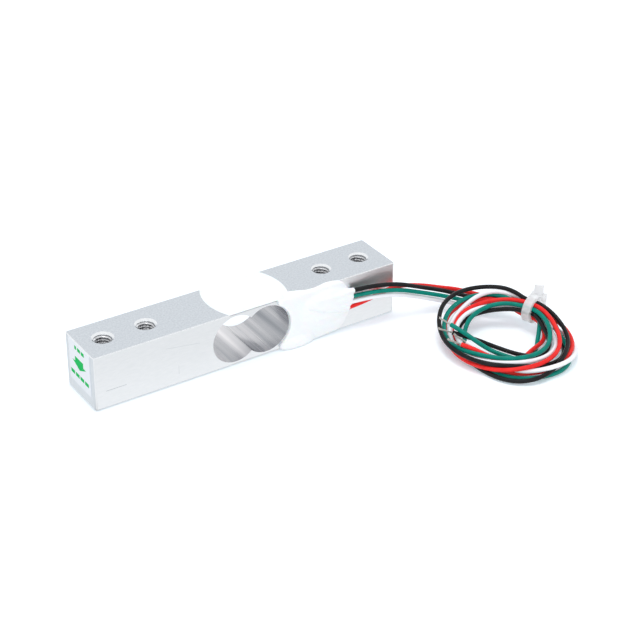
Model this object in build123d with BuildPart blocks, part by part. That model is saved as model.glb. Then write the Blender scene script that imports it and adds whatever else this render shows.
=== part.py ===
"""A small bar load cell with four coiled leads.

Millimetres, +Z up. The origin is on the underside, midway between the two holes of the fixed end.
+X runs along the bar, from the load end to the fixed end, and the leads leave the front side, which faces -Y.
"""

import math
import os

from build123d import *

os.makedirs("parts", exist_ok=True)

# Bar
beam_length = 75.0
beam_width = 12.7
beam_height = 12.7
upright_radius = 0.45  # the four upright corners
edge_break = 0.15  # the long edges

# Screw holes, two at each end
hole_pitch = 10.0
hole_end_margin = 5.5
tap_drill = 3.3  # M4
load_countersink = 4.8
fixed_countersink = 4.5
countersink_angle = 90.0

# Spring element: two bores that run into each other, with a thin web over and under each
bore_spacing = 7.7
web_thickness = 0.45

# Shallow recess over the thin webs, rounded at both ends by the same disc cutter
recess_depth = 0.25
recess_load_reach = 7.15  # from the middle of the bar
recess_fixed_reach = 11.15
recess_cutter = 25.0

# Strain gauges: a foil grid of long legs on a film, with two tabs
grid_length = 2.8
grid_legs = 8
grid_leg_width = 0.11
grid_leg_pitch = 0.22
grid_loop = 0.2
foil_thickness = 0.02
tab_gap = 0.15
tab_length = 1.1
tab_width = 0.75
tab_spacing = 1.6
carrier_margin = 0.35
carrier_thickness = 0.06
carrier_corner = 0.3

# Terminal board, glued to the front side under the silicone
board_length = 6.0
board_height = 7.4
board_thickness = 0.3
board_corner = 0.4
board_from_middle = 15.0
terminal_count = 4
terminal_pitch = 1.5
terminal_rise = 1.2  # the rows' middle above the bar's mid-height
pad_length = 5.0
pad_width = 1.0
pad_thickness = 0.035
solder_length = 2.0
solder_width = 0.9
solder_height = 0.8
solder_rounding = 0.3

# Fine enamelled wires from the gauges to the board
bridge_wire = 0.1
bridge_lift = 0.02  # clear of the faces it runs along
bridge_pitch = 0.3
bridge_first_drop = 8.0  # where the first wire crosses the edge, from the middle
bridge_first_lane = 3.4  # the first wire's distance from the bar's axis
bridge_first_rise = 10.4  # where the first wire turns towards its row, from the middle
bridge_shoulder = 1.8  # how far below the edge the first wire runs

# Silicone coat on the front side: reaches along the bar from its middle
coat_thickness = 0.8
coat_rounding = 0.45
coat_bore_gap = 0.15
coat_edge_head = 6.3  # the crisp left edge
coat_edge_foot = 7.9
coat_head_reach = 23.4
coat_bulge_reach = 25.4
coat_bulge_radius = 6.0
coat_corner_reach = 23.6
coat_corner_radius = 3.0
coat_corner_rise = 0.7  # above the underside
coat_foot_reach = 15.5
ridge_cover = 0.3  # silicone round a buried lead

# The coat's lap over the top front edge
lap_thickness = 0.3
lap_overhang = 0.3  # past the front face
lap_start = 9.2
lap_step = 13.4  # where it narrows
lap_end = 23.0
lap_wide = 1.5  # in from the front face
lap_narrow = 0.4
lap_rounding = 0.5

# End label
label_width = 9.4
label_height = 10.1
label_thickness = 0.08
label_corner = 0.3
label_centre_height = 7.5

# Leads
lead_diameter = 1.0
lead_sides = 8  # the tubes' sections are octagons, which keeps their facets few
strand_diameter = 0.5
tip_length = 3.2
lead_clearance = 0.02

# Coil
coil_x = 23.5
coil_y = -31.5
tie_angle = 20.0
bundle_diameter = 4.3
bundle_radius = 10.2
bundle_height = 4.5
straight_angle = 9.0  # each side of the tie, where the bundle keeps its section
bundle_sides = 12

# Cable tie
tie_gap = 0.15
strap_width = 2.0
strap_thickness = 0.8
head_length = 3.0  # along the strap
head_width = 3.4
head_depth = 2.6
head_rounding = 0.4
head_angle = 12.0  # above the level of the bundle's middle, on the coil's outer side
pocket_length = 1.5
pocket_width = 1.8
pocket_depth = 0.6
stub_length = 1.6

# Places that follow from those sizes
bore_height = beam_height / 2
bore_diameter = beam_height - 2 * (recess_depth + web_thickness)
terminal_middle_height = beam_height / 2 + terminal_rise
fixed_end = hole_pitch / 2 + hole_end_margin
load_end = fixed_end - beam_length
middle = (fixed_end + load_end) / 2
load_holes = load_end + hole_end_margin + hole_pitch / 2
front = -beam_width / 2
recess_floor = beam_height - recess_depth
foil_floor = recess_floor + carrier_thickness
pad_top = front - board_thickness - pad_thickness
lead_line = pad_top - lead_clearance - lead_diameter / 2
solder_end = middle + board_from_middle + pad_length / 2
ridge_radius = lead_diameter / 2 + ridge_cover
half_height_plane = Plane.XY.offset(beam_height / 2)
front_plane = Plane(origin=(middle, front, 0), x_dir=(1, 0, 0), z_dir=(0, -1, 0))
web_places = {"load": middle - bore_spacing / 2, "fixed": middle + bore_spacing / 2}


def save(piece, name):
    """Labels one finished piece and writes its file."""
    piece.label = name
    export_step(piece, f"parts/{name}.step")
    return piece


def other_side(piece):
    """The same piece on the underside of the bar."""
    return mirror(piece, about=half_height_plane, mode=Mode.PRIVATE)


def recess_outline(width):
    """The recess in plan: two cutter arcs, cut off at the given width."""
    cutter = recess_cutter / 2
    with BuildSketch() as outline:
        with Locations((middle - recess_load_reach + cutter, 0)):
            Circle(cutter)
        with Locations((middle + recess_fixed_reach - cutter, 0)):
            Circle(cutter, mode=Mode.INTERSECT)
        with Locations((middle, 0)):
            Rectangle(recess_cutter * 2, width, mode=Mode.INTERSECT)
    return outline.sketch


# Beam
with BuildPart() as beam:
    with BuildSketch():
        with Locations((middle, 0)):
            RectangleRounded(beam_length, beam_width, upright_radius)
    extrude(amount=beam_height)
    chamfer(beam.edges().filter_by(Axis.X), edge_break)
    with BuildSketch(front_plane):
        with Locations((0, bore_height)):
            with GridLocations(bore_spacing, 0, 2, 1):
                Circle(bore_diameter / 2)
    extrude(amount=-beam_width, mode=Mode.SUBTRACT)
    for holes_x, sink in ((load_holes, load_countersink), (0, fixed_countersink)):
        for face, turn in ((beam_height, 0), (0, 180)):
            with Locations(Location((holes_x, 0, face), (turn, 0, 0))):
                with GridLocations(hole_pitch, 0, 2, 1):
                    CounterSinkHole(tap_drill / 2, sink / 2, beam_height, countersink_angle)
    with BuildSketch(Plane.XY.offset(recess_floor)):
        add(recess_outline(beam_width * 2))
    top_recess = extrude(amount=beam_height, mode=Mode.PRIVATE)
    add(top_recess, mode=Mode.SUBTRACT)
    add(other_side(top_recess), mode=Mode.SUBTRACT)
save(beam.part, "beam")

# Strain gauges, one over each thin web on the top and on the underside
grid_reach = grid_length / 2 + grid_loop
tab_middle = grid_reach + tab_gap + tab_length / 2
carrier_start = -grid_reach - carrier_margin
carrier_stop = tab_middle + tab_length / 2 + carrier_margin
carrier_width = (grid_legs - 1) * grid_leg_pitch + tab_width + 2 * carrier_margin


def gauge_film(web_x):
    """The carrier film of one gauge on the top side."""
    with BuildPart() as film:
        with BuildSketch(Plane.XY.offset(recess_floor)):
            with Locations((web_x + (carrier_start + carrier_stop) / 2, 0)):
                RectangleRounded(carrier_stop - carrier_start, carrier_width, carrier_corner)
        extrude(amount=carrier_thickness)
    return film.part


def gauge_grid(web_x):
    """The foil of one gauge: parallel legs joined end to end, and two tabs."""
    span = (grid_legs - 1) * grid_leg_pitch
    with BuildPart() as foil:
        with BuildSketch(Plane(origin=(web_x, 0, foil_floor))):
            with GridLocations(0, grid_leg_pitch, 1, grid_legs):
                Rectangle(2 * grid_reach, grid_leg_width)
            for pair in range(grid_legs - 1):
                side = -1 if pair % 2 == 0 else 1
                place = (side * (grid_reach - grid_loop / 2), (pair + 0.5) * grid_leg_pitch - span / 2)
                with Locations(place):
                    Rectangle(grid_loop, grid_leg_pitch + grid_leg_width)
            with Locations((grid_reach + tab_gap / 2, 0)):
                with GridLocations(0, span, 1, 2):
                    Rectangle(2 * tab_gap, grid_leg_width)
            with Locations((tab_middle, 0)):
                with GridLocations(0, tab_spacing, 1, 2):
                    Rectangle(tab_length, tab_width)
        extrude(amount=foil_thickness)
    return foil.part


buried = []
for place, web_x in web_places.items():
    for kind, piece in (("gauge", gauge_film(web_x)), ("grid", gauge_grid(web_x))):
        buried.append(save(piece, f"{kind}_top_{place}"))
        buried.append(save(other_side(piece), f"{kind}_bottom_{place}"))

# Terminal board with its pads and solder joints
pads_origin = front_plane.offset(board_thickness).from_local_coords((board_from_middle, 0))
pads_plane = Plane(pads_origin, x_dir=(1, 0, 0), z_dir=(0, -1, 0))
solder_shift = (pad_length - solder_length) / 2
with BuildPart() as board:
    with BuildSketch(front_plane):
        with Locations((board_from_middle, terminal_middle_height)):
            RectangleRounded(board_length, board_height, board_corner)
    extrude(amount=board_thickness)
buried.append(save(board.part, "terminal_board"))

with BuildPart() as pads:
    with BuildSketch(pads_plane):
        with Locations((0, terminal_middle_height)):
            with GridLocations(0, terminal_pitch, 1, terminal_count):
                Rectangle(pad_length, pad_width)
    extrude(amount=pad_thickness)
buried.append(save(pads.part, "terminal_pads"))

with BuildPart() as solder:
    with BuildSketch(pads_plane.offset(pad_thickness)):
        with Locations((solder_shift, terminal_middle_height)):
            with GridLocations(0, terminal_pitch, 1, terminal_count):
                Rectangle(solder_length, solder_width)
    extrude(amount=solder_height)
    outer_faces = solder.faces().filter_by(Axis.Y).group_by(Axis.Y)[0]
    left_edges = solder.edges().filter_by(Axis.Y).group_by(Axis.X)[0]
    outer_edges = [edge for face in outer_faces for edge in face.edges().filter_by(Axis.X)]
    fillet(outer_edges + left_edges, solder_rounding)
buried.append(save(solder.part, "solder_joints"))

# Fine wires: each leaves a tab, runs to the front edge, goes over it and turns to its row of the board
wire_z = foil_floor + foil_thickness + bridge_lift + bridge_wire / 2
lowest_row = terminal_middle_height - (terminal_count - 1) / 2 * terminal_pitch
wire_rows = [lowest_row + row * terminal_pitch for row in range(terminal_count)]
pad_start = middle + board_from_middle - pad_length / 2 + bridge_wire


def bridge_route(index, underside):
    """The corners of one fine wire, from its tab to its pad."""
    web_x = web_places["load" if index < 2 else "fixed"]
    tab_x = web_x + tab_middle
    tab_y = tab_spacing / 2 * (1 if index % 2 else -1)
    drop_x = middle + bridge_first_drop + index * bridge_pitch
    rise_x = middle + bridge_first_rise + index * bridge_pitch
    lane_y = -bridge_first_lane + index * bridge_pitch
    shoulder = beam_height - bridge_shoulder + index * bridge_pitch
    layer = 2 if underside else 1
    face_y = front - layer * (bridge_lift + bridge_wire) + bridge_wire / 2
    land_y = pad_top - layer * (bridge_lift + bridge_wire) + bridge_wire / 2
    high, side, row = wire_z, shoulder, wire_rows[index] + pad_width / 4
    if underside:
        high, side = beam_height - wire_z, beam_height - shoulder
        row = wire_rows[-1 - index] - pad_width / 4
    start = [(tab_x, tab_y, high)]
    if index == 1:
        start.append((tab_x + tab_length, tab_y, high))
        start.append((tab_x + tab_length, lane_y, high))
    elif index == 3:
        lane_y = tab_y
    else:
        start.append((tab_x, lane_y, high))
    end_x = pad_start + index * bridge_wire
    return start + [
        (drop_x, lane_y, high),
        (drop_x, face_y, high),
        (drop_x, face_y, side),
        (rise_x, face_y, side),
        (rise_x, face_y, row),
        (pad_start - 3 * bridge_wire, land_y, row),
        (end_x + pad_width / 2, land_y, row),
    ]


def bridge_wires(underside):
    """The four fine wires of one side of the bar."""
    with BuildPart() as wires:
        for index in range(terminal_count):
            with BuildLine() as path:
                Polyline(*bridge_route(index, underside))
            with BuildSketch(Plane(origin=path.line @ 0, z_dir=path.line % 0)):
                RegularPolygon(bridge_wire / 2, 6)
            sweep(path=path.line, transition=Transition.RIGHT)
    return wires.part


buried.append(save(bridge_wires(False), "bridge_wires_top"))
buried.append(save(bridge_wires(True), "bridge_wires_bottom"))

# Leads: routes as corner points, from the solder joint to the coil
lead_rows = dict(zip(("red", "white", "green", "black"), wire_rows))
lead_routes = {
    "black": [
        (-1.0, -7.2, 9.8), (8.5, -8.7, 8.7), (15.4, -9.9, 6.6),
        (20.5, -10.7, 4.7), (23.9, -13.0, 3.7), (26.4, -16.4, 3.5),
    ],
    "green": [
        (-1.4, -7.2, 8.4), (8.3, -9.2, 7.4), (15.3, -10.1, 5.4),
        (21.2, -12.1, 3.5), (23.9, -14.5, 2.9), (26.1, -18.2, 2.6),
    ],
    "white": [
        (-1.7, -7.2, 7.1), (8.2, -9.3, 6.4), (15.4, -10.0, 4.1),
        (21.7, -12.6, 2.1), (24.8, -16.0, 1.4), (27.0, -19.5, 1.5),
    ],
    "red": [
        (-1.8, -7.2, 5.5), (4.2, -7.2, 6.5), (10.2, -7.5, 7.8), (16.3, -8.7, 6.3),
        (21.2, -9.6, 4.6), (24.6, -11.4, 4.0), (26.6, -14.4, 3.9), (28.2, -17.9, 4.1),
    ],
}


def tube_path(points):
    """Straight runs joined by tangent arcs, each as large as its two runs allow, and the arcs' radii."""
    corners = [Vector(*point) for point in points]
    radii = []
    for before, corner, after in zip(corners, corners[1:], corners[2:]):
        into, out = corner - before, after - corner
        turn = math.radians(into.get_angle(out))
        radii.append(0.45 * min(into.length, out.length) / math.tan(turn / 2))
    return FilletPolyline(*corners, radius=radii), radii


def lead_tube(points):
    """A tube along a route, the line it follows and its radii."""
    with BuildPart() as tube:
        with BuildLine():
            line, radii = tube_path(points)
        with BuildSketch(Plane(origin=line @ 0, z_dir=line % 0)):
            RegularPolygon(lead_diameter / 2, lead_sides)
        sweep(path=line)
    return tube.part, line, radii


# Coil: one solid of the coil's outer shape, in twelve-sided oval sections round its middle
# Each section: angle, radius of its middle, width, height of its middle, thickness
coil_sections = [
    (tie_angle, bundle_radius, bundle_diameter, bundle_height, bundle_diameter),
    (tie_angle + straight_angle, bundle_radius, bundle_diameter, bundle_height, bundle_diameter),
    (52, 11.2, 6.8, 4.4, 4.8),
    (80, 12.3, 7.4, 3.7, 4.8),
    (110, 12.6, 7.0, 3.0, 4.6),
    (140, 12.4, 6.2, 2.2, 4.2),
    (170, 12.0, 5.6, 1.7, 3.4),
    (200, 11.7, 6.2, 1.5, 3.0),
    (230, 11.4, 8.0, 1.5, 3.0),
    (260, 11.2, 9.4, 1.6, 3.2),
    (288, 11.2, 9.0, 1.9, 3.8),
    (314, 11.0, 7.8, 2.6, 4.6),
    (340, 10.6, 6.2, 3.5, 4.8),
    (360 + tie_angle - straight_angle, bundle_radius, bundle_diameter, bundle_height, bundle_diameter),
    (360 + tie_angle, bundle_radius, bundle_diameter, bundle_height, bundle_diameter),
]


def coil_plane(angle, radius, height):
    """A plane across the bundle: local X points away from the coil's middle and local Y points up."""
    away = Vector(math.cos(math.radians(angle)), math.sin(math.radians(angle)), 0)
    place = Vector(coil_x, coil_y, height) + away * radius
    return Plane(origin=place, x_dir=away, z_dir=away.cross(Vector(0, 0, 1)))


def coil_half(sections):
    """One half of the coil, from the tie to the far side."""
    with BuildPart() as half:
        for angle, radius, width, height, thickness in sections:
            with BuildSketch(coil_plane(angle, radius, height)):
                RegularPolygon(width / 2, bundle_sides)
                scale(by=(1, thickness / width, 1))
        loft(ruled=True)
    return half.part


far_section = len(coil_sections) // 2
with BuildPart() as coil:
    add(coil_half(coil_sections[: far_section + 1]))
    add(coil_half(coil_sections[far_section:]))
save(coil.part, "lead_coil")

exits = {}
leads = {}
for colour, route in lead_routes.items():
    start = (solder_end, lead_line, lead_rows[colour])
    tube, line, radii = lead_tube([start] + route)
    with BuildPart() as lead:
        add(tube)
        add(coil.part, mode=Mode.SUBTRACT)
    leads[colour] = save(lead.part, f"lead_{colour}")
    exits[colour] = Vector(*route[0])
    section = lead_sides * (lead_diameter / 2) ** 2 * math.sin(2 * math.pi / lead_sides) / 2
    print(colour, "lead, smallest radii", [round(radius, 1) for radius in sorted(radii)[:3]])
    print("  volume over section times length", round(tube.volume / (section * line.length), 4))

# Free ends: the tail of each lead lies across the coil and ends in a bare strand
tail_routes = {
    "black": [
        (24.2, -41.2, 1.8), (21.2, -37.6, 1.6), (18.6, -32.6, 1.9),
        (15.6, -29.4, 3.2), (11.9, -26.4, 4.4),
    ],
    "green": [
        (19.9, -40.4, 2.0), (16.6, -35.4, 2.5), (15.1, -32.3, 3.4),
        (13.6, -28.7, 4.9), (12.6, -24.9, 5.4),
    ],
    "white": [(17.2, -36.6, 1.1), (15.3, -34.4, 1.7), (13.6, -32.4, 3.0), (12.4, -30.6, 4.0)],
    "red": [(16.6, -37.8, 1.4), (14.6, -35.5, 2.4), (12.4, -33.2, 3.7), (10.9, -30.9, 4.1)],
}
for colour, route in tail_routes.items():
    tube, line, radii = lead_tube(route)
    with BuildPart() as tail:
        add(tube)
        add(coil.part, mode=Mode.SUBTRACT)
    save(tail.part, f"tail_{colour}")
    with BuildPart() as tip:
        with BuildSketch(Plane(origin=line @ 1, z_dir=line % 1)):
            Circle(strand_diameter / 2)
        extrude(amount=tip_length)
    save(tip.part, f"tip_{colour}")
    print(colour, "tail, smallest radii", [round(radius, 1) for radius in sorted(radii)[:3]])

# Silicone: a fill in each recess, the coat on the front side and its lap over the top edge, all one casting
with BuildPart() as coat:
    with BuildSketch(front_plane):
        with BuildLine():
            foot = (coat_foot_reach, 0)
            head = (coat_head_reach, beam_height)
            bulge = (coat_bulge_reach, bore_height)
            corner = (coat_corner_reach, coat_corner_rise)
            Polyline(head, (coat_edge_head, beam_height), (coat_edge_foot, 0), foot)
            FilletPolyline(foot, corner, bulge, head, radius=[coat_corner_radius, coat_bulge_radius])
        make_face()
    extrude(amount=coat_thickness)
    fillet(coat.faces().sort_by(Axis.Y)[0].edges(), coat_rounding)
    with BuildSketch(front_plane):
        with Locations((bore_spacing / 2, bore_height)):
            Circle(bore_diameter / 2 + coat_bore_gap)
    extrude(amount=coat_thickness, mode=Mode.SUBTRACT)

with BuildPart() as lap:
    with BuildSketch(Plane(origin=(middle, front, beam_height - coat_rounding))):
        with BuildLine():
            inner_edge = [(lap_start, -lap_overhang), (lap_start, lap_wide), (lap_step, lap_wide)]
            inner_edge += [(lap_step + lap_wide - lap_narrow, lap_narrow), (lap_end, lap_narrow)]
            FilletPolyline(*inner_edge, (lap_end, -lap_overhang), radius=lap_rounding)
            Line((lap_end, -lap_overhang), (lap_start, -lap_overhang))
        make_face()
    extrude(amount=lap_thickness + coat_rounding)

with BuildPart() as ridges:
    for colour, tube_exit in exits.items():
        ridge_start = Vector(solder_end - solder_length, lead_line, lead_rows[colour])
        run = tube_exit - ridge_start
        with BuildSketch(Plane(origin=ridge_start, z_dir=run)):
            Circle(ridge_radius)
        extrude(amount=run.length)
        with Locations(ridge_start):
            Sphere(ridge_radius)

with BuildPart() as seal:
    with BuildSketch(Plane.XY.offset(recess_floor)):
        add(recess_outline(beam_width))
    extrude(amount=recess_depth)
    with BuildSketch():
        add(recess_outline(beam_width))
    extrude(amount=recess_depth)
    add(coat.part)
    add(lap.part)
    add(ridges.part)
    add(beam.part, mode=Mode.SUBTRACT)
    for piece in buried + list(leads.values()):
        add(piece, mode=Mode.SUBTRACT)
save(seal.part, "gauge_seal")

# End label
with BuildPart() as label:
    with BuildSketch(Plane(origin=(load_end, 0, label_centre_height), x_dir=(0, -1, 0), z_dir=(-1, 0, 0))):
        RectangleRounded(label_width, label_height, label_corner)
    extrude(amount=label_thickness)
save(label.part, "end_label")

# Cable tie: strap ring, head with its pawl pocket, and the cut stub of the strap
tie_plane = coil_plane(tie_angle, bundle_radius, bundle_height)
strap_inner = bundle_diameter / 2 + tie_gap
strap_outer = strap_inner + strap_thickness
head_middle = strap_outer + head_depth / 2
head_plane = tie_plane.rotated((0, 0, head_angle))
with BuildPart() as tie:
    with BuildSketch(tie_plane):
        Circle(strap_outer)
    extrude(amount=strap_width / 2, both=True)
    with BuildSketch(head_plane):
        with Locations((head_middle - strap_thickness / 2, 0)):
            Rectangle(head_depth + strap_thickness, head_length)
    extrude(amount=head_width / 2, both=True)
    head_face = tie.faces().sort_by(Axis(head_plane.origin, head_plane.x_dir))[-1]
    fillet(head_face.edges(), head_rounding)
    with BuildSketch(head_plane):
        with Locations((head_middle, (head_length + stub_length) / 2)):
            Rectangle(strap_thickness, stub_length + head_length / 2)
    extrude(amount=strap_width / 2, both=True)
    with BuildSketch(head_plane):
        with Locations((strap_outer + head_depth, 0)):
            Rectangle(2 * pocket_depth, pocket_length)
    extrude(amount=pocket_width / 2, both=True, mode=Mode.SUBTRACT)
    with BuildSketch(tie_plane):
        Circle(strap_inner)
    extrude(amount=head_width, both=True, mode=Mode.SUBTRACT)
save(tie.part, "coil_tie")
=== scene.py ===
# Bar load cell: a drilled beam under its silicone coat, with four leads wound into a tied coil
import math

import bmesh
import bpy
import numpy as np
from mathutils import Matrix, Vector, noise


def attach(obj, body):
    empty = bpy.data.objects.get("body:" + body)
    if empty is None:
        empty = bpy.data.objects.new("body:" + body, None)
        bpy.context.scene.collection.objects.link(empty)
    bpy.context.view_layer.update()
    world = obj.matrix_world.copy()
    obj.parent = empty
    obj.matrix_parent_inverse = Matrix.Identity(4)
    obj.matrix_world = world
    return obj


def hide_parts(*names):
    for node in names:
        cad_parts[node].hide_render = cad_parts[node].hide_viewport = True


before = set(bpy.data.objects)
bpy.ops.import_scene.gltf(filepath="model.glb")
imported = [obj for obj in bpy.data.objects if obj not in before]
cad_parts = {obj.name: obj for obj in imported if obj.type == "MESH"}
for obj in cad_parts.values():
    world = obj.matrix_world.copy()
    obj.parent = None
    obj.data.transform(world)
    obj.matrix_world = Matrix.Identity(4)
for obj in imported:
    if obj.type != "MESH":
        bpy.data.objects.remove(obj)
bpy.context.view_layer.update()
# Sizes are in millimetres, and mm makes them metres
mm = 0.001
scene = bpy.context.scene
print("frame loaded,", len(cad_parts), "nodes")

bar = {"middle": -27.0, "front": -6.35, "top": 12.7}
mergeGap = 0.001


def addObject(name, data):
    thing = bpy.data.objects.new(name, data)
    scene.collection.objects.link(thing)
    return thing


def addPiece(name, data, slotName, *nodes):
    piece = addObject(name, data)
    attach(piece, "root")
    if nodes:
        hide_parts(*nodes)
    return piece


def toMesh(bm, name, sharpAngle=None):
    mesh = bpy.data.meshes.new(name)
    bm.to_mesh(mesh)
    bm.free()
    if sharpAngle:
        mesh.shade_smooth()
        mesh.set_sharp_from_angle(angle=math.radians(sharpAngle))
    return mesh


# Gives flat faces a thickness along the step
def thicken(bm, faces, step):
    grown = bmesh.ops.extrude_face_region(bm, geom=faces, use_keep_orig=True)
    moved = [item for item in grown["geom"] if isinstance(item, bmesh.types.BMVert)]
    bmesh.ops.translate(bm, verts=moved, vec=step)


# Closes the open ends of what was spun
def closeEnds(bm):
    bmesh.ops.holes_fill(bm, edges=[edge for edge in bm.edges if edge.is_boundary], sides=0)


# Runs modifiers on a mesh and gives the mesh that comes out
def bakeModifiers(mesh, name, *settings):
    carrier = addObject(name, mesh)
    for kind, values in settings:
        modifier = carrier.modifiers.new(kind, kind)
        for key, value in values.items():
            setattr(modifier, key, value)
    bpy.context.view_layer.update()
    baked = bpy.data.meshes.new_from_object(carrier.evaluated_get(bpy.context.evaluated_depsgraph_get()))
    bpy.data.objects.remove(carrier)
    return baked


# Finishes: noise between two tones, which change over between the stops
toneStops = (0.3, 0.7)


def makeFinish(name, tones, scale, stretch=(1, 1, 1), rough=(0.3, 0.4), relief=0.0, metallic=0.0, detail=4.0):
    material = bpy.data.materials.new(name)
    material.use_nodes = True
    tree = material.node_tree
    shader = tree.nodes["Principled BSDF"]
    coords = tree.nodes.new("ShaderNodeTexCoord")
    place = tree.nodes.new("ShaderNodeMapping")
    place.inputs["Scale"].default_value = stretch
    grain = tree.nodes.new("ShaderNodeTexNoise")
    grain.inputs["Scale"].default_value = scale
    grain.inputs["Detail"].default_value = detail
    tint = tree.nodes.new("ShaderNodeValToRGB")
    for index, position in enumerate(toneStops):
        tint.color_ramp.elements[index].position = position
        tint.color_ramp.elements[index].color = (*tones[index], 1)
    gloss = tree.nodes.new("ShaderNodeMapRange")
    gloss.inputs["To Min"].default_value = rough[0]
    gloss.inputs["To Max"].default_value = rough[1]
    tree.links.new(coords.outputs["Object"], place.inputs["Vector"])
    tree.links.new(place.outputs["Vector"], grain.inputs["Vector"])
    tree.links.new(grain.outputs["Fac"], tint.inputs["Fac"])
    tree.links.new(grain.outputs["Fac"], gloss.inputs["Value"])
    tree.links.new(tint.outputs["Color"], shader.inputs["Base Color"])
    tree.links.new(gloss.outputs["Result"], shader.inputs["Roughness"])
    shader.inputs["Metallic"].default_value = metallic
    if relief:
        bump = tree.nodes.new("ShaderNodeBump")
        bump.inputs["Strength"].default_value = 1.0
        bump.inputs["Distance"].default_value = relief * mm
        tree.links.new(grain.outputs["Fac"], bump.inputs["Height"])
        tree.links.new(bump.outputs["Normal"], shader.inputs["Normal"])
    return material


finishes = {
    # Top, sides and ends are one aluminium. Their grain, relief and roughness are the finishes, but their
    # tones are partly painted light: the top is darker as painted shade, the sides lighter as painted light,
    # the ends darker than the sides as painted shade
    "blasted": makeFinish("blastedTopPaintedShade", ((0.57, 0.61, 0.655), (0.71, 0.75, 0.79)), 2600, rough=(0.45, 0.6),
                          relief=0.012, metallic=1.0),
    "ground": makeFinish("groundSidesPaintedLight", ((0.86, 0.895, 0.925), (0.9, 0.93, 0.96)), 1300, (0.5, 1, 2),
                         rough=(0.36, 0.47), relief=0.001, metallic=1.0),
    "sawn": makeFinish("sawnEndsPaintedShade", ((0.68, 0.74, 0.79), (0.76, 0.81, 0.86)), 1800, (1, 1, 0.3),
                       rough=(0.35, 0.5), relief=0.006, metallic=1.0),
    # The bores' light and dark colour streaks along their axis are painted reflections; their bump and
    # roughness stand for the reamed surface
    "reamed": makeFinish("reamedBoresPaintedReflections", ((0.28, 0.30, 0.33), (0.96, 0.95, 0.97)), 260, (1, 0.03, 1),
                         rough=(0.16, 0.4), relief=0.01, metallic=1.0, detail=7.0),
    # The chamfers' bright tone is partly a painted highlight on the edge breaks and countersinks, over a real
    # turned surface
    "chamfer": makeFinish("turnedChamfersPaintedHighlight", ((0.76, 0.79, 0.82), (0.95, 0.97, 0.99)), 2600, (1, 1, 4),
                          rough=(0.14, 0.25), relief=0.004, metallic=1.0),
    # The threads' darker tone is painted shade inside the tapped holes
    "thread": makeFinish("tappedThreadsPaintedShade", ((0.52, 0.53, 0.55), (0.8, 0.81, 0.83)), 1500, (1, 1, 4),
                         rough=(0.25, 0.4), relief=0.004, metallic=1.0),
    # The downward edge breaks' dark tone is a painted contact shadow along the beam's lower edges
    "edge": makeFinish("lowerEdgesPaintedShadow", ((0.16, 0.17, 0.185), (0.26, 0.27, 0.285)), 1500,
                       rough=(0.5, 0.62), relief=0.003, metallic=1.0),
    "silicone": makeFinish("whiteSilicone", ((0.905, 0.93, 0.945), (0.93, 0.95, 0.965)), 700,
                           rough=(0.38, 0.5), relief=0.01),
    "paper": makeFinish("labelPaper", ((0.765, 0.80, 0.85), (0.795, 0.83, 0.875)), 2500,
                        rough=(0.35, 0.5), relief=0.003),
    "ink": makeFinish("greenInk", ((0.0, 0.45, 0.095), (0.0, 0.51, 0.115)), 4000,
                      rough=(0.4, 0.55), relief=0.002),
    "laminate": makeFinish("boardLaminate", ((0.08, 0.28, 0.15), (0.13, 0.36, 0.2)), 1500,
                           rough=(0.35, 0.5), relief=0.004),
    "copper": makeFinish("padCopper", ((0.62, 0.34, 0.22), (0.78, 0.47, 0.3)), 2000,
                         rough=(0.25, 0.4), relief=0.003, metallic=1.0),
    "solder": makeFinish("brightSolder", ((0.6, 0.61, 0.62), (0.75, 0.76, 0.77)), 2600,
                         rough=(0.18, 0.35), relief=0.01, metallic=1.0),
    "film": makeFinish("gaugeFilm", ((0.6, 0.36, 0.1), (0.75, 0.5, 0.16)), 1200,
                       rough=(0.2, 0.35), relief=0.002),
    "foil": makeFinish("gaugeFoil", ((0.55, 0.52, 0.47), (0.72, 0.68, 0.62)), 2400, (1, 4, 1),
                       rough=(0.25, 0.4), relief=0.003, metallic=1.0),
    "tinned": makeFinish("tinnedStrand", ((0.4, 0.39, 0.37), (0.6, 0.59, 0.56)), 3000,
                         rough=(0.22, 0.38), relief=0.004, metallic=1.0),
    "red": makeFinish("redInsulation", ((0.76, 0.02, 0.02), (0.88, 0.035, 0.03)), 500,
                      rough=(0.14, 0.24), relief=0.003),
    "black": makeFinish("blackInsulation", ((0.008, 0.008, 0.009), (0.016, 0.016, 0.018)), 500,
                        rough=(0.14, 0.24), relief=0.003),
    "green": makeFinish("greenInsulation", ((0.0, 0.185, 0.145), (0.0, 0.245, 0.19)), 500,
                        rough=(0.14, 0.24), relief=0.003),
    "white": makeFinish("whiteInsulation", ((0.86, 0.87, 0.92), (0.92, 0.92, 0.96)), 500,
                        rough=(0.14, 0.24), relief=0.003),
    "nylon": makeFinish("naturalNylon", ((0.95, 0.965, 0.98), (0.99, 0.99, 1.0)), 900,
                        rough=(0.3, 0.42), relief=0.004),
}
shaderValues = {
    "nylon": {"Transmission Weight": 0.5, "IOR": 1.2},
    "red": {"Specular IOR Level": 0.15},
    "black": {"Specular IOR Level": 0.15},
    "green": {"Specular IOR Level": 0.15},
    "white": {"Specular IOR Level": 0.15},
    "ink": {"Specular IOR Level": 0.05},
    "silicone": {"Subsurface Weight": 0.15, "Subsurface Scale": 0.8 * mm},
}
for key, values in shaderValues.items():
    for socket, value in values.items():
        finishes[key].node_tree.nodes["Principled BSDF"].inputs[socket].default_value = value
print("finishes made,", len(finishes))


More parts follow.
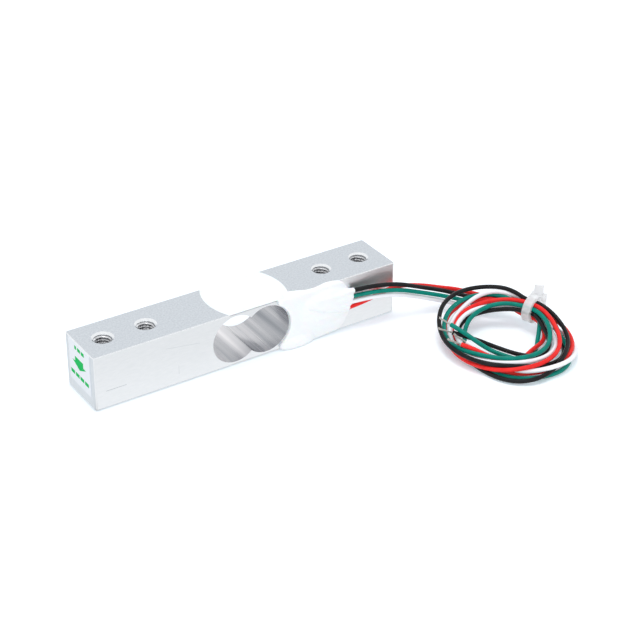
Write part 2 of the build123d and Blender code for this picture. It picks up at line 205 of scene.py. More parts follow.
# A fine scribed line, darker than the finish it lies in
def addScribe(material, place, slant, length, width, shade):
    tree = material.node_tree
    shader = tree.nodes["Principled BSDF"]
    coords = next(node for node in tree.nodes if node.type == "TEX_COORD")
    turned = tree.nodes.new("ShaderNodeMapping")
    turned.vector_type = "TEXTURE"
    turned.inputs["Location"].default_value = Vector(place) * mm
    turned.inputs["Rotation"].default_value = (0, math.radians(slant), 0)
    turned.inputs["Scale"].default_value = (length * mm / 2, mm, width * mm / 2)
    size = tree.nodes.new("ShaderNodeVectorMath")
    size.operation = "ABSOLUTE"
    parts = tree.nodes.new("ShaderNodeSeparateXYZ")
    wide = tree.nodes.new("ShaderNodeMath")
    wide.operation = "MAXIMUM"
    widest = tree.nodes.new("ShaderNodeMath")
    widest.operation = "MAXIMUM"
    inside = tree.nodes.new("ShaderNodeMath")
    inside.operation = "LESS_THAN"
    inside.inputs[1].default_value = 1
    darken = tree.nodes.new("ShaderNodeMix")
    darken.data_type = "RGBA"
    darken.inputs["B"].default_value = (*shade, 1)
    before = shader.inputs["Base Color"].links[0].from_socket
    tree.links.new(coords.outputs["Object"], turned.inputs["Vector"])
    tree.links.new(turned.outputs["Vector"], size.inputs[0])
    tree.links.new(size.outputs["Vector"], parts.inputs[0])
    tree.links.new(parts.outputs["X"], wide.inputs[0])
    tree.links.new(parts.outputs["Y"], wide.inputs[1])
    tree.links.new(wide.outputs[0], widest.inputs[0])
    tree.links.new(parts.outputs["Z"], widest.inputs[1])
    tree.links.new(widest.outputs[0], inside.inputs[0])
    tree.links.new(inside.outputs[0], darken.inputs["Factor"])
    tree.links.new(before, darken.inputs["A"])
    tree.links.new(darken.outputs["Result"], shader.inputs["Base Color"])


marks = {  # middle, slant, length, width and shade of each scribed line on the front
    "endLine": ((-59.6, -6.35, 4.07), 0, 4.7, 0.14, (0.6, 0.64, 0.68)),
    "scratch": ((-43.8, -6.35, 8.9), 8.5, 8.3, 0.09, (0.72, 0.76, 0.8)),
    "tick": ((-44.9, -6.35, 3.4), 90, 2.2, 0.1, (0.72, 0.76, 0.8)),
}
for mark in marks.values():
    addScribe(finishes["ground"], *mark)


# Camera: angles in degrees, and its place to the right, upward and back from the beam's middle
view = {"azimuth": -34.213, "elevation": 31.395, "roll": 1.11, "right": 18.276, "upward": 5.582,
        "back": 357.882, "focalPixels": 1633.52, "imageWidth": 640, "sensor": 36.0, "clipStart": 10.0}


def placeCamera():
    azimuth, elevation, roll = (math.radians(view[key]) for key in ("azimuth", "elevation", "roll"))
    level = math.cos(elevation)
    back = Vector((math.sin(azimuth) * level, -math.cos(azimuth) * level, math.sin(elevation)))
    side = (-back).cross(Vector((0, 0, 1))).normalized()
    upright = side.cross(-back)
    right = side * math.cos(roll) + upright * math.sin(roll)
    upward = upright * math.cos(roll) - side * math.sin(roll)
    aside = Vector((bar["middle"], 0, 0)) + right * view["right"] + upward * view["upward"]
    place = aside + back * view["back"]
    data = bpy.data.cameras.new("camera")
    data.sensor_fit = "HORIZONTAL"
    data.sensor_width = view["sensor"]
    data.lens = view["sensor"] * view["focalPixels"] / view["imageWidth"]
    data.clip_start = view["clipStart"] * mm
    camera = addObject("camera", data)
    turned = Matrix((right, upward, back)).transposed().to_4x4()
    camera.matrix_world = Matrix.Translation(place * mm) @ turned
    scene.camera = camera


placeCamera()
scene.view_settings.view_transform = "Standard"
print("camera placed")

# Leads: each runs from its solder joint, at its row's height, through the coil and ends in a bare strand. Its
# length is in metres, its route and tail are points, its entry and laps radius and height round the coil, its
# slots reach and bearing in the tie, and its ridge the radius of the silicone over it where that differs
leadStart = (-9.5, -7.205)
leads = {
    "black": {
        "row": 9.8, "length": 0.25,
        "route": [(-1.0, -7.2, 9.8), (8.5, -8.7, 9.2), (15.4, -9.9, 6.6), (20.5, -10.7, 4.7),
                  (23.9, -13.0, 3.7), (26.4, -16.4, 3.5)],
        "tail": [(24.2, -41.2, 1.8), (21.2, -37.6, 1.6), (18.6, -32.6, 1.9), (15.6, -29.4, 3.2),
                 (11.9, -26.4, 4.4)],
        "entry": (12.8, 3.6), "slots": [(1.65, 350), (1.65, 70), (1.65, 190)],
        "laps": [[(12.0, 1.8), (13.4, 1.3), (12.5, 1.6), (12.9, 1.9), (14.4, 2.7), (16.0, 5.4), (14.7, 5.5)],
                 [(12.6, 3.4), (13.8, 2.0), (15.3, 0.55), (11.8, 0.6), (10.8, 1.0), (11.2, 2.6), (8.4, 4.3)],
                 [(8.7, 2.6), (9.7, 2.0)]],
    },
    "red": {
        "row": 5.3, "length": 0.244, "ridge": 0.86,
        "route": [(-1.8, -7.2, 5.5), (4.2, -7.2, 6.1), (10.2, -7.4, 7.4), (16.3, -8.7, 6.3),
                  (21.2, -9.6, 4.6), (24.6, -11.4, 4.0), (26.6, -14.4, 3.9), (28.2, -17.9, 4.1)],
        "tail": [(16.6, -37.8, 1.4), (14.6, -35.5, 2.4), (12.4, -33.2, 3.7), (10.9, -30.9, 4.1)],
        "entry": (13.6, 4.0), "slots": [(0.6, 30), (1.65, 110), (1.65, 230)],
        "laps": [[(13.3, 2.1), (13.9, 1.4), (12.9, 0.7), (12.2, 0.9), (11.6, 1.3), (12.1, 3.6), (10.6, 5.3)],
                 [(9.9, 5.2), (12.5, 3.2), (13.3, 2.2), (12.3, 0.95), (12.7, 1.1), (14.8, 3.2), (13.2, 4.4)],
                 [(8.2, 1.9), (6.6, 1.5), (7.6, 1.2)]],
    },
    "green": {
        "row": 8.3, "length": 0.236,
        "route": [(-1.4, -7.2, 8.4), (8.3, -9.2, 7.95), (15.3, -10.1, 5.4), (21.2, -12.1, 3.5),
                  (23.9, -14.5, 2.9), (26.1, -18.2, 2.6)],
        "tail": [(19.9, -40.4, 2.0), (16.6, -35.4, 2.5), (15.1, -32.3, 3.4), (13.6, -28.7, 4.9),
                 (12.6, -24.9, 5.4)],
        "entry": (12.4, 3.2), "slots": [(1.65, 310), (1.65, 150), (0.6, 150)],
        "laps": [[(11.0, 2.2), (15.0, 0.6), (14.5, 0.5), (11.6, 0.6), (9.8, 1.2), (9.7, 3.5), (9.1, 5.1)],
                 [(8.7, 5.0), (9.8, 3.5), (10.6, 3.3), (10.8, 2.8), (13.4, 2.2), (14.4, 4.2), (13.8, 5.0)],
                 [(7.0, 1.0), (7.0, 1.0)]],
    },
    "white": {
        "row": 6.8, "length": 0.238,
        "route": [(-1.7, -7.2, 7.1), (8.2, -9.3, 6.85), (15.4, -10.0, 4.1), (21.7, -12.6, 2.1),
                  (24.8, -16.0, 1.4), (27.0, -19.5, 1.5)],
        "tail": [(17.2, -36.6, 1.1), (15.3, -34.4, 1.7), (13.6, -32.4, 3.0), (12.4, -30.6, 4.0)],
        "entry": (12.6, 2.6), "slots": [(1.65, 270), (0.6, 270), (1.65, 30)],
        "laps": [[(13.8, 1.0), (15.3, 1.5), (13.6, 1.1), (11.4, 1.2), (11.9, 2.3), (10.9, 3.6), (9.4, 4.2)],
                 [(10.0, 3.0), (11.6, 2.6), (12.2, 2.4), (12.4, 2.0), (12.5, 2.4), (13.1, 3.1), (13.8, 5.5)],
                 [(9.6, 1.2), (8.6, 1.2), (8.6, 1.2)]],
    },
}
# The coil's sizes, its angles in degrees, and how its leads settle
coil = {
    "centre": (23.5, -31.5), "bundleRadius": 10.2, "bundleHeight": 4.5, "leadDiameter": 1.0, "step": 12.0,
    "entryAngle": 50.0, "lapStart": 25, "lapStep": 45, "stepsBefore": 2, "stepsShort": 0.4,
    "tieAngle": 20.0, "tieReach": 1.78, "tieHold": 9, "tieBand": 13,
    "passes": 140, "spacing": 1.05, "crowded": 0.85, "nearest": 0.08, "ownSamples": 9,
    "push": 0.45, "follow": 1.6, "ownShare": 0.8, "sideShare": 0.1, "lowest": 0.5,
}


# A smooth run through the values, cubic between neighbours
def smoothThrough(angles, values, wanted):
    slopes = np.gradient(values, angles)
    spans = np.clip(np.searchsorted(angles, wanted) - 1, 0, len(angles) - 2)
    width = angles[spans + 1] - angles[spans]
    part = (wanted - angles[spans]) / width
    rest = 1 - part
    start = rest * rest * (1 + 2 * part) * values[spans] + part * rest * rest * width * slopes[spans]
    end = part * part * (1 + 2 * rest) * values[spans + 1] - part * part * rest * width * slopes[spans + 1]
    return start + end


def polar(point):
    across, along = point[0] - coil["centre"][0], point[1] - coil["centre"][1]
    return math.degrees(math.atan2(along, across)), math.hypot(across, along), point[2]


# The lead's points in the coil, turn by turn, from its entry to its tail
def woundPoints(lead):
    turned = [polar(lead["route"][-1]), (coil["entryAngle"], *lead["entry"])]
    for index, lap in enumerate(lead["laps"]):
        reach, bearing = lead["slots"][index]
        radius = coil["bundleRadius"] + reach * math.cos(math.radians(bearing))
        height = coil["bundleHeight"] + reach * math.sin(math.radians(bearing))
        tie = coil["tieAngle"] - 360 * index
        turned += [(tie + coil["tieHold"], radius, height), (tie - coil["tieHold"], radius, height)]
        start = -coil["lapStart"] - 360 * index
        turned += [(start - coil["lapStep"] * stop, *place) for stop, place in enumerate(lap)]
    angle, radius, height = polar(lead["tail"][0])
    while angle > turned[-1][0]:
        angle -= 360
    turned.append((angle, radius, height))
    table = np.array(turned)[::-1]
    first = coil["tieAngle"] + coil["stepsBefore"] * coil["step"]
    wanted = np.arange(first, angle + coil["stepsShort"] * coil["step"], -coil["step"])
    radii = smoothThrough(table[:, 0], table[:, 1], wanted)
    heights = smoothThrough(table[:, 0], table[:, 2], wanted)
    across = coil["centre"][0] + radii * np.cos(np.radians(wanted))
    along = coil["centre"][1] + radii * np.sin(np.radians(wanted))
    return np.stack([across, along, heights], 1), wanted


# What each control point gives to samples of the smooth line they steer
def splineRows(count, share=4):
    rows = np.zeros(((count - 2) * share, count))
    for span in range(count - 2):
        for stop in range(share):
            part = (stop + 0.5) / share
            row = rows[span * share + stop]
            row[span] = 0.5 * (1 - part) ** 2
            row[span + 1] = 0.5 + part * (1 - part)
            row[span + 2] = 0.5 * part ** 2
    return rows


# The ways from every sample of the leads to every other, and their lengths
def sampleGaps(rows, lines):
    samples = np.concatenate([row @ line for row, line in zip(rows, lines)])
    gaps = samples[:, None] - samples[None]
    return gaps, np.sqrt((gaps ** 2).sum(2))


# Draws a lead's point back into the strap where its turn runs through the tie
def holdInTie(line, spot, angle):
    swing = (angle - coil["tieAngle"] + 180) % 360 - 180
    if abs(swing) > coil["tieBand"]:
        return
    turnedOut = math.radians(coil["tieAngle"] + swing)
    away = np.array([math.cos(turnedOut), math.sin(turnedOut), 0])
    middle = np.array([*coil["centre"], coil["bundleHeight"]]) + away * coil["bundleRadius"]
    offset = line[spot] - middle
    local = np.array([offset @ away, offset[2]])
    reach = np.hypot(*local)
    if reach > coil["tieReach"]:
        local *= coil["tieReach"] / reach
        line[spot] = middle + away * local[0] + np.array([0, 0, local[1]])


# Presses crossing leads apart, keeps them in the tie and above the table
def settleCoil(lines, free, angles):
    rows = [splineRows(len(line)) for line in lines]
    owner = np.concatenate([np.full(len(row), index) for index, row in enumerate(rows)])
    order = np.concatenate([np.arange(len(row)) for row in rows])
    own = (owner[:, None] == owner[None]) & (abs(order[:, None] - order[None]) < coil["ownSamples"])
    starts = [line.copy() for line in lines]
    for turn in range(coil["passes"]):
        gaps, apart = sampleGaps(rows, lines)
        lack = (coil["spacing"] - apart) / np.maximum(apart, coil["nearest"])
        push = np.where((apart < coil["spacing"]) & ~own, lack, 0)
        moves = coil["push"] * (gaps * push[:, :, None]).sum(1)
        at = 0
        for index, (row, line) in enumerate(zip(rows, lines)):
            mine = moves[at:at + len(row)]
            at += len(row)
            shift = row.T @ mine / row.sum(0)[:, None] * coil["follow"]
            drift = line + shift - starts[index]
            drift[1:-1] = coil["ownShare"] * drift[1:-1] + coil["sideShare"] * (drift[:-2] + drift[2:])
            begin, end = free[index]
            line[begin:end] = (starts[index] + drift)[begin:end]
            line[:, 2] = np.maximum(line[:, 2], coil["lowest"])
            for spot in range(begin, end):
                holdInTie(line, spot, angles[index][spot - begin])
    apart = sampleGaps(rows, lines)[1][~own]
    close = int((apart < coil["crowded"]).sum() / 2)
    print("leads settled, nearest", round(float(apart.min()), 2), "mm,", close, "close spots")


def makeCord(name, points, thickness, material):
    data = bpy.data.curves.new(name, "CURVE")
    data.dimensions = "3D"
    spline = data.splines.new("NURBS")
    spline.points.add(len(points) - 1)
    for spot, point in zip(spline.points, points):
        spot.co = (*(Vector(point) * mm), 1)
    spline.order_u = 3
    spline.use_endpoint_u = True
    data.resolution_u = 6
    data.bevel_depth = thickness * mm / 2
    data.bevel_resolution = 5
    data.use_fill_caps = True
    data.materials.append(material)
    return data


# Bare ends: fine strands wound round one, which begin inside the insulation and spread a little
strand = {"count": 6, "radius": 0.062, "sides": 8, "spacing": 2.02, "length": 3.2, "inside": 0.5,
          "turns": 0.8, "steps": 18, "spreadFrom": 1.2, "spread": 0.5, "swayX": (0.2, 3), "swayY": (0.15, 2),
          "sharpAngle": 60}


def makeTip(route):
    bm = bmesh.new()
    rise = (strand["length"] + strand["inside"]) / strand["steps"]
    for index in range(strand["count"] + 1):
        ring = bmesh.ops.create_circle(bm, segments=strand["sides"], radius=strand["radius"])["verts"]
        spread = 0 if index == strand["count"] else strand["spacing"] * strand["radius"]
        bearing = math.tau * index / strand["count"]
        offset = (spread * math.cos(bearing), spread * math.sin(bearing), -strand["inside"])
        bmesh.ops.translate(bm, verts=ring, vec=offset)
        edges = list(dict.fromkeys(edge for vert in ring for edge in vert.link_edges))
        bmesh.ops.spin(bm, geom=ring + edges, cent=(0, 0, 0), axis=(0, 0, 1), dvec=(0, 0, rise),
                       angle=math.tau * strand["turns"], steps=strand["steps"], use_merge=False)
    closeEnds(bm)
    swingX, wavesX = strand["swayX"]
    swingY, wavesY = strand["swayY"]
    for vert in bm.verts:
        sway = max(0.0, vert.co.z - strand["spreadFrom"]) / strand["length"]
        vert.co.x += swingX * sway * math.sin(wavesX * vert.co.z) + vert.co.x * sway * strand["spread"]
        vert.co.y += swingY * sway * math.cos(wavesY * vert.co.z) + vert.co.y * sway * strand["spread"]
    bmesh.ops.recalc_face_normals(bm, faces=bm.faces)
    end, before = Vector(route[-1]), Vector(route[-2])
    facing = (end - before).to_track_quat("Z", "Y").to_matrix().to_4x4()
    bmesh.ops.transform(bm, verts=bm.verts, matrix=Matrix.Scale(mm, 4) @ Matrix.Translation(end) @ facing)
    return bm


lines, free, angles = [], [], []
for lead in leads.values():
    wound, wanted = woundPoints(lead)
    route = [(*leadStart, lead["row"]), *lead["route"]]
    lines.append(np.array([*route, *wound.tolist(), *lead["tail"]], float))
    free.append((len(route), len(route) + len(wound)))
    angles.append(wanted)
settleCoil(lines, free, angles)
for (colour, lead), line in zip(leads.items(), lines):
    tipMesh = toMesh(makeTip(lead["tail"]), f"strands_{colour}", strand["sharpAngle"])
    tip = addPiece(f"strands_{colour}", tipMesh, "tinned_strand", f"tip_{colour}")
    tip.data.materials.append(finishes["tinned"])
    data = makeCord(f"wire_{colour}", line, coil["leadDiameter"], finishes[colour])
    nodes = [f"lead_{colour}", f"tail_{colour}"]
    if colour == "red":
        nodes.append("lead_coil")
    cord = addPiece(f"wire_{colour}", data, f"wire_{colour}", *nodes)
    runs = np.diff(splineRows(len(line)) @ line, axis=0)
    print(colour, "lead, about", round(float(np.sqrt((runs ** 2).sum(1)).sum()), 1), "mm")

# Beam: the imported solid, with its screw threads cut
threads = {"holes": (-59.0, -49.0, -5.0, 5.0), "pitch": 0.7, "inner": 1.55, "outer": 2.0, "mouth": 0.66,
           "crest": 0.09, "steps": 28}


def makeThreadCutter():
    bm = bmesh.new()
    turns = math.ceil((bar["top"] + 2 * threads["pitch"]) / threads["pitch"])
    for x in threads["holes"]:
        corners = [(threads["inner"], -threads["mouth"] / 2), (threads["outer"], -threads["crest"] / 2),
                   (threads["outer"], threads["crest"] / 2), (threads["inner"], threads["mouth"] / 2)]
        ring = [bm.verts.new((x + radius, 0, z - threads["pitch"])) for radius, z in corners]
        edges = [bm.edges.new((ring[spot], ring[spot - 1])) for spot in range(4)]
        bmesh.ops.spin(bm, geom=ring + edges, cent=(x, 0, 0), axis=(0, 0, 1), angle=math.tau * turns,
                       dvec=(0, 0, threads["pitch"] / threads["steps"]), steps=threads["steps"] * turns,
                       use_merge=False)
    closeEnds(bm)
    bmesh.ops.recalc_face_normals(bm, faces=bm.faces)
    bmesh.ops.scale(bm, verts=bm.verts, vec=(mm, mm, mm))
    return toMesh(bm, "threadCutter")


# Where the beam's finishes change: distances from holes and bores, heights, and slopes of the faces
limits = {"hole": 2.5, "coneSlopes": (0.55, 0.85), "coneDepths": (0.75, 0.6), "bores": 9.7, "boresWide": 6.33,
          "boresHigh": (0.3, 12.4), "boreSlope": 0.5, "level": 0.98, "upright": 0.05, "end": 0.75,
          "plane": 0.9999, "sharpAngle": 28}
beamFinishes = ("blasted", "ground", "sawn", "reamed", "chamfer", "thread", "edge")


# Which of the beam's finishes a face has, by its place and slope; most finishes also carry painted light or
# shade
def finishOf(centre, normal):
    x, y, z = centre / mm
    steep = abs(normal.z)
    hole = min(math.hypot(x - place, y) for place in threads["holes"])
    if hole < limits["hole"] and steep < limits["level"]:
        depth = limits["coneDepths"][0 if x < bar["middle"] else 1]
        least, most = limits["coneSlopes"]
        sloped = least < steep < most and min(z, bar["top"] - z) < depth
        return "chamfer" if sloped else "thread"
    low, high = limits["boresHigh"]
    inBores = abs(x - bar["middle"]) < limits["bores"] and abs(y) < limits["boresWide"] and low < z < high
    # The bores get the finish with painted reflection streaks
    if inBores and abs(normal.y) < limits["boreSlope"]:
        return "reamed"
    # The top's finish carries a darker tone as painted shade
    if steep > limits["level"]:
        return "blasted"
    if steep > limits["upright"]:
        # Edge breaks facing down get the dark painted shadow tone, those facing up the bright chamfer tone
        # with its painted highlight
        return "edge" if normal.z < 0 else "chamfer"
    # The ends' finish is darker as painted shade, the sides' finish lighter as painted light
    return "sawn" if abs(normal.x) > limits["end"] else "ground"


def makeBeam():
    bm = bmesh.new()
    bm.from_mesh(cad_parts["beam"].data)
    bmesh.ops.remove_doubles(bm, verts=bm.verts, dist=mergeGap * mm)
    solid = toMesh(bm, "beamSolid")
    solid.materials.clear()
    cutter = addObject("threadCutter", makeThreadCutter())
    cut = bakeModifiers(solid, "beamSolid",
                        ("BOOLEAN", {"operation": "DIFFERENCE", "solver": "EXACT", "object": cutter}))
    bpy.data.objects.remove(cutter)
    cut.materials.clear()
    for key in beamFinishes:
        cut.materials.append(finishes[key])
    for face in cut.polygons:
        face.material_index = beamFinishes.index(finishOf(face.center, face.normal))
    cut.shade_smooth()
    cut.set_sharp_from_angle(angle=math.radians(limits["sharpAngle"]))
    for face in cut.polygons:
        face.use_smooth = max(abs(value) for value in face.normal) < limits["plane"]
    print("beam threaded,", len(cut.polygons), "faces")
    return cut


addPiece("threaded_beam", makeBeam(), "beam_aluminium", "beam")

# Silicone: a smooth fill in each recess and a hand-laid coat over the terminals. The bore's arc is centre,
# radius, first and last angle, and each swell is middle and reach
seal = {
    "outline": [(7.9, 0.0), (12.2, 0.0), (15.2, 0.05), (17.6, 0.1), (20.3, 0.33), (22.6, 0.6), (23.6, 1.85),
                (24.9, 4.0), (25.2, 6.0), (25.2, 8.2), (24.9, 9.9), (24.3, 10.6), (23.4, 12.2), (22.4, 12.75),
                (6.5, 12.75)],
    "boreArc": (3.85, 6.35, 5.8, 62, -50), "arcSteps": 24,
    "lap": [(8.2, -6.7), (8.4, -4.6), (10.2, -4.6), (12.3, -5.3), (13.7, -6.05), (16.0, -6.25), (17.5, -6.0),
            (19.2, -5.6), (20.7, -5.8), (22.0, -6.2), (22.6, -6.7)],
    "crease": [(-12.6, 8.4), (-10.0, 7.0), (-5.7, 5.75), (-2.2, 5.3)],
    "creaseWidth": 0.26, "creaseDepth": 0.24,
    "swells": [((-8.0, -6.85, 7.5), (7.4, 1.08, 4.5)), ((-15.6, -6.8, 0.9), (4.6, 1.15, 1.7))],
    "thickness": 0.75, "sunk": 0.02, "lapHeight": 0.32, "lapDepth": 0.3, "voxel": 0.16, "sharpAngle": 50,
    "ridge": 0.72, "ridgeTaper": 0.02, "ridgeBack": 1.5, "ridgeDeeper": 0.1, "ridgePull": 6,
    "smoothPasses": 14, "frontKept": 0.12, "topKept": 0.05, "frontSkin": 0.2,
    "lump": 0.07, "lumpScale": 0.33, "fineScale": 0.8, "fineShare": 0.5, "fineShift": (5, 0, 0),
    "fillMiddle": 2.0, "fillHalf": 9.15, "fillRadius": 12.5, "fillPlay": 0.01, "fillWall": 6.34,
    "fillDepth": 0.14, "fillProud": 0.005,
}


# The ridge that the coat has over a lead's first stretch
def addRidge(bm, lead):
    start = Vector((leadStart[0] - seal["ridgeBack"], leadStart[1] + seal["ridgeDeeper"], lead["row"]))
    first, second = Vector(lead["route"][0]), Vector(lead["route"][1])
    end = (start + seal["ridgePull"] * first + second) / (seal["ridgePull"] + 2)
    run = end - start
    place = Matrix.Translation((start + end) / 2) @ run.to_track_quat("Z", "Y").to_matrix().to_4x4()
    radius = lead.get("ridge", seal["ridge"])
    bmesh.ops.create_cone(bm, cap_ends=True, segments=20, radius1=radius, radius2=radius - seal["ridgeTaper"],
                          depth=run.length, matrix=place)


# The coat before it is smoothed: a slab on the front, a lap on the top, ridges and swells
def shapeCoat():
    bm = bmesh.new()
    centreX, centreZ, radius, first, last = seal["boreArc"]
    steps = seal["arcSteps"]
    arc = [math.radians(first + (last - first) * stop / steps) for stop in range(steps + 1)]
    edge = [(centreX + radius * math.cos(turn), centreZ + radius * math.sin(turn)) for turn in arc]
    outline = [(x + bar["middle"], z) for x, z in edge + seal["outline"]]
    wall = bm.faces.new([bm.verts.new((x, bar["front"] + seal["sunk"], z)) for x, z in outline])
    thicken(bm, [wall], (0, -seal["thickness"], 0))
    lapBase = bar["top"] - seal["lapDepth"]
    sheet = bm.faces.new([bm.verts.new((x + bar["middle"], y, lapBase)) for x, y in seal["lap"]])
    thicken(bm, [sheet], (0, 0, seal["lapDepth"] + seal["lapHeight"]))
    for lead in leads.values():
        addRidge(bm, lead)
    for middle, reach in seal["swells"]:
        place = Matrix.Translation(middle) @ Matrix.Diagonal((*reach, 1))
        bmesh.ops.create_uvsphere(bm, u_segments=32, v_segments=20, radius=1, matrix=place)
    bmesh.ops.recalc_face_normals(bm, faces=bm.faces)
    return bm


# How far the crease is sunk at a point of the front, from 0 to 1
def creaseAt(point):
    sink = 0.0
    for (fromX, fromZ), (toX, toZ) in zip(seal["crease"], seal["crease"][1:]):
        run = Vector((toX - fromX, toZ - fromZ))
        spot = Vector((point.x - fromX, point.z - fromZ))
        along = min(1.0, max(0.0, spot.dot(run) / run.length_squared))
        off = (spot - run * along).length / seal["creaseWidth"]
        sink = max(sink, math.exp(-off * off))
    return sink


# The coat's free skin is smoothed, then made a little lumpy and creased
def makeCoat():
    rough = bakeModifiers(toMesh(shapeCoat(), "coatRough"), "coatRough",
                          ("REMESH", {"mode": "VOXEL", "voxel_size": seal["voxel"]}))
    bm = bmesh.new()
    bm.from_mesh(rough)
    nearest, highest = bar["front"] - seal["frontKept"], bar["top"] + seal["topKept"]
    for turn in range(seal["smoothPasses"]):
        loose = [vert for vert in bm.verts if vert.co.y < nearest or vert.co.z > highest]
        bmesh.ops.smooth_vert(bm, verts=loose, factor=0.5, use_axis_x=True, use_axis_y=True, use_axis_z=True)
    bm.normal_update()
    shift = Vector(seal["fineShift"])
    for vert in bm.verts:
        if vert.co.y < bar["front"] - seal["frontSkin"]:
            fine = seal["fineShare"] * noise.noise(vert.co * seal["fineScale"] + shift)
            waves = noise.noise(vert.co * seal["lumpScale"]) + fine
            vert.co += vert.normal * (seal["lump"] * waves - seal["creaseDepth"] * creaseAt(vert.co))
        vert.co.z = max(vert.co.z, 0.0)
    return bm


# The fill has the recess's two arcs: half of one is cut to shape and mirrored
def makeFill(low, high):
    bm = bmesh.new()
    bmesh.ops.create_circle(bm, cap_ends=True, segments=192, radius=seal["fillRadius"] - seal["fillPlay"])
    bmesh.ops.translate(bm, verts=bm.verts, vec=(seal["fillRadius"] - seal["fillHalf"], 0, 0))
    for across, along in ((1, 0), (0, 1), (0, -1)):
        bmesh.ops.bisect_plane(bm, geom=bm.verts[:] + bm.edges[:] + bm.faces[:], clear_outer=True,
                               plane_co=(0, along * seal["fillWall"], 0), plane_no=(across, along, 0))
    bmesh.ops.mirror(bm, geom=bm.verts[:] + bm.edges[:] + bm.faces[:], axis="X", merge_dist=mergeGap)
    bmesh.ops.recalc_face_normals(bm, faces=bm.faces)
    bmesh.ops.translate(bm, verts=bm.verts, vec=(bar["middle"] + seal["fillMiddle"], 0, low))
    thicken(bm, bm.faces[:], (0, 0, high - low))
    bmesh.ops.recalc_face_normals(bm, faces=bm.faces)
    return bm


coat = makeCoat()
for bounds in ((bar["top"] - seal["fillDepth"], bar["top"] + seal["fillProud"]), (0.0, seal["fillDepth"])):
    fill = toMesh(makeFill(*bounds), "recessFill")
    coat.from_mesh(fill)
bmesh.ops.scale(coat, verts=coat.verts, vec=(mm, mm, mm))
coatMesh = toMesh(coat, "silicone_coat", seal["sharpAngle"])
coatMesh.materials.append(finishes["silicone"])
addPiece("silicone_coat", coatMesh, "silicone", "gauge_seal")
print("silicone laid,", len(coatMesh.polygons), "faces")

# Label print: plain bars, each with its middle, width and height, and a load arrow
labelPrint = {
    "face": -64.58, "raise": 0.012,
    "arrow": [(1.95, 9.1), (1.95, 7.95), (3.2, 7.85), (0.0, 6.45), (-2.9, 7.85), (-1.75, 7.95), (-1.75, 9.1)],
    "bars": [(1.5, 11.3, 0.8, 0.85), (0.0, 11.3, 1.3, 0.85), (-1.7, 11.3, 1.3, 0.85),
             (3.3, 4.7, 1.7, 0.9), (1.2, 4.7, 1.7, 0.9), (-0.9, 4.7, 1.7, 0.9), (-3.0, 4.7, 1.7, 0.9)],
}


def makePrint():
    bm = bmesh.new()
    bm.faces.new([bm.verts.new((labelPrint["face"], y, z)) for y, z in labelPrint["arrow"]])
    for y, z, width, height in labelPrint["bars"]:
        corners = [(y - width / 2, z - height / 2), (y + width / 2, z - height / 2),
                   (y + width / 2, z + height / 2), (y - width / 2, z + height / 2)]
        bm.faces.new([bm.verts.new((labelPrint["face"], across, upward)) for across, upward in corners])
    thicken(bm, bm.faces[:], (-labelPrint["raise"], 0, 0))
    bmesh.ops.recalc_face_normals(bm, faces=bm.faces)
    bmesh.ops.scale(bm, verts=bm.verts, vec=(mm, mm, mm))
    return bm


printMesh = toMesh(makePrint(), "label_print")
printMesh.materials.append(finishes["ink"])
addPiece("label_print", printMesh, "label_paper")

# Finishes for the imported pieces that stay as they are
dressing = {"end_label": "paper", "terminal_board": "laminate", "terminal_pads": "copper",
            "solder_joints": "solder", "bridge_wires": "tinned", "gauge": "film", "grid": "foil",
            "coil_tie": "nylon"}
for name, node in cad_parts.items():
    for start, key in dressing.items():
        if name.startswith(start) and name != "gauge_seal":
            node.data.materials.clear()
            node.data.materials.append(finishes[key])
print("packed pieces dressed")

# Table, world and lamps, with lengths in metres but for the table's top
studio = {
    "tableTop": -0.2, "tableReach": 1.5, "tableTone": (0.93, 0.945, 0.96),
    "tableRough": 0.9, "tableGloss": 0.1, "liftTone": (0.78, 1.0, 1.15), "lift": 0.22,
    "daylightTone": (0.96, 0.98, 1.0), "daylight": 0.8, "lampAim": (-0.01, -0.01, 0),
    "lamps": {  # place, width and power in watts, and whether gloss shows it
        "softbox": ((-0.02, 0.03, 0.66), 0.3, 0.85, False),
        "glint": ((-0.06, 0.01, 0.66), 0.3, 0.5, True),
        "frontFill": ((-0.35, -0.45, 0.3), 0.5, 0.9, False),
    },
}


# The largest of some of the ray kinds' values
def lightPathMix(tree, *names):
    path = tree.nodes.new("ShaderNodeLightPath")
    reach = path.outputs[names[0]]
    for name in names[1:]:
        larger = tree.nodes.new("ShaderNodeMath")
        larger.operation = "MAXIMUM"
        tree.links.new(reach, larger.inputs[0])
        tree.links.new(path.outputs[name], larger.inputs[1])
        reach = larger.outputs[0]
    return reach


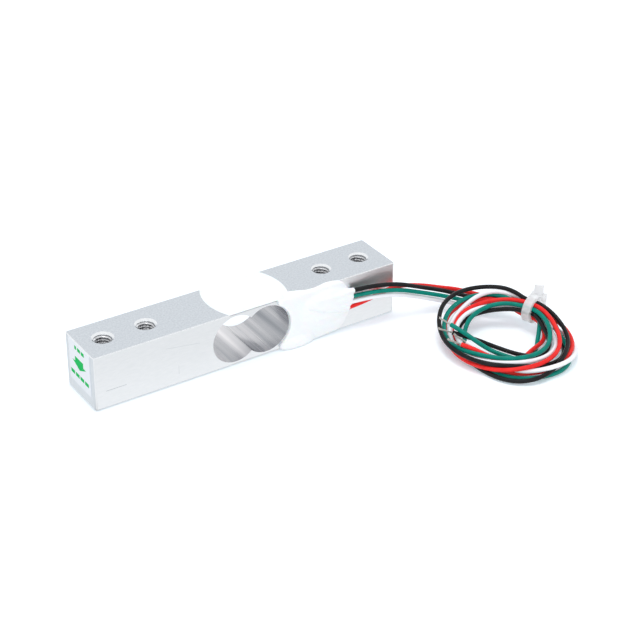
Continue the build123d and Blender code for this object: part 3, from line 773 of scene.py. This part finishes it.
# The table is lifted towards white for the camera, and is plain white in gloss and through clear pieces
def makeFloor():
    bm = bmesh.new()
    bmesh.ops.create_grid(bm, x_segments=1, y_segments=1, size=studio["tableReach"])
    bmesh.ops.translate(bm, verts=bm.verts, vec=(0, 0, studio["tableTop"] * mm))
    floor = addObject("table", toMesh(bm, "table"))
    material = bpy.data.materials.new("tableWhite")
    material.use_nodes = True
    tree = material.node_tree
    shader = tree.nodes["Principled BSDF"]
    shader.inputs["Base Color"].default_value = (*studio["tableTone"], 1)
    shader.inputs["Roughness"].default_value = studio["tableRough"]
    shader.inputs["Specular IOR Level"].default_value = studio["tableGloss"]
    lift = tree.nodes.new("ShaderNodeEmission")
    lift.inputs["Color"].default_value = (*studio["liftTone"], 1)
    lift.inputs["Strength"].default_value = studio["lift"]
    both = tree.nodes.new("ShaderNodeAddShader")
    seen = tree.nodes.new("ShaderNodeMixShader")
    bright = tree.nodes.new("ShaderNodeEmission")
    mirrored = tree.nodes.new("ShaderNodeMixShader")
    tree.links.new(shader.outputs[0], both.inputs[0])
    tree.links.new(lift.outputs[0], both.inputs[1])
    tree.links.new(lightPathMix(tree, "Is Camera Ray"), seen.inputs[0])
    tree.links.new(shader.outputs[0], seen.inputs[1])
    tree.links.new(both.outputs[0], seen.inputs[2])
    tree.links.new(lightPathMix(tree, "Is Glossy Ray", "Is Transmission Ray"), mirrored.inputs[0])
    tree.links.new(seen.outputs[0], mirrored.inputs[1])
    tree.links.new(bright.outputs[0], mirrored.inputs[2])
    tree.links.new(mirrored.outputs[0], tree.nodes["Material Output"].inputs["Surface"])
    floor.data.materials.append(material)


# Soft daylight, which the camera and gloss see as plain white
def makeWorld():
    world = bpy.data.worlds.new("studio")
    scene.world = world
    world.use_nodes = True
    tree = world.node_tree
    soft = tree.nodes["Background"]
    soft.inputs["Color"].default_value = (*studio["daylightTone"], 1)
    soft.inputs["Strength"].default_value = studio["daylight"]
    plain = tree.nodes.new("ShaderNodeBackground")
    plain.inputs["Color"].default_value = (1, 1, 1, 1)
    mix = tree.nodes.new("ShaderNodeMixShader")
    tree.links.new(lightPathMix(tree, "Is Camera Ray", "Is Glossy Ray", "Is Transmission Ray"), mix.inputs[0])
    tree.links.new(soft.outputs[0], mix.inputs[1])
    tree.links.new(plain.outputs[0], mix.inputs[2])
    tree.links.new(mix.outputs[0], tree.nodes["World Output"].inputs["Surface"])


def makeLamps():
    for name, (spot, width, power, glossy) in studio["lamps"].items():
        data = bpy.data.lights.new(name, "AREA")
        data.shape = "DISK"
        data.size = width
        data.energy = power
        lamp = addObject(name, data)
        lamp.visible_glossy = glossy
        place = Vector(spot)
        lamp.location = place
        lamp.rotation_euler = (place - Vector(studio["lampAim"])).to_track_quat("Z", "Y").to_euler()


makeFloor()
makeWorld()
makeLamps()
print("studio set")
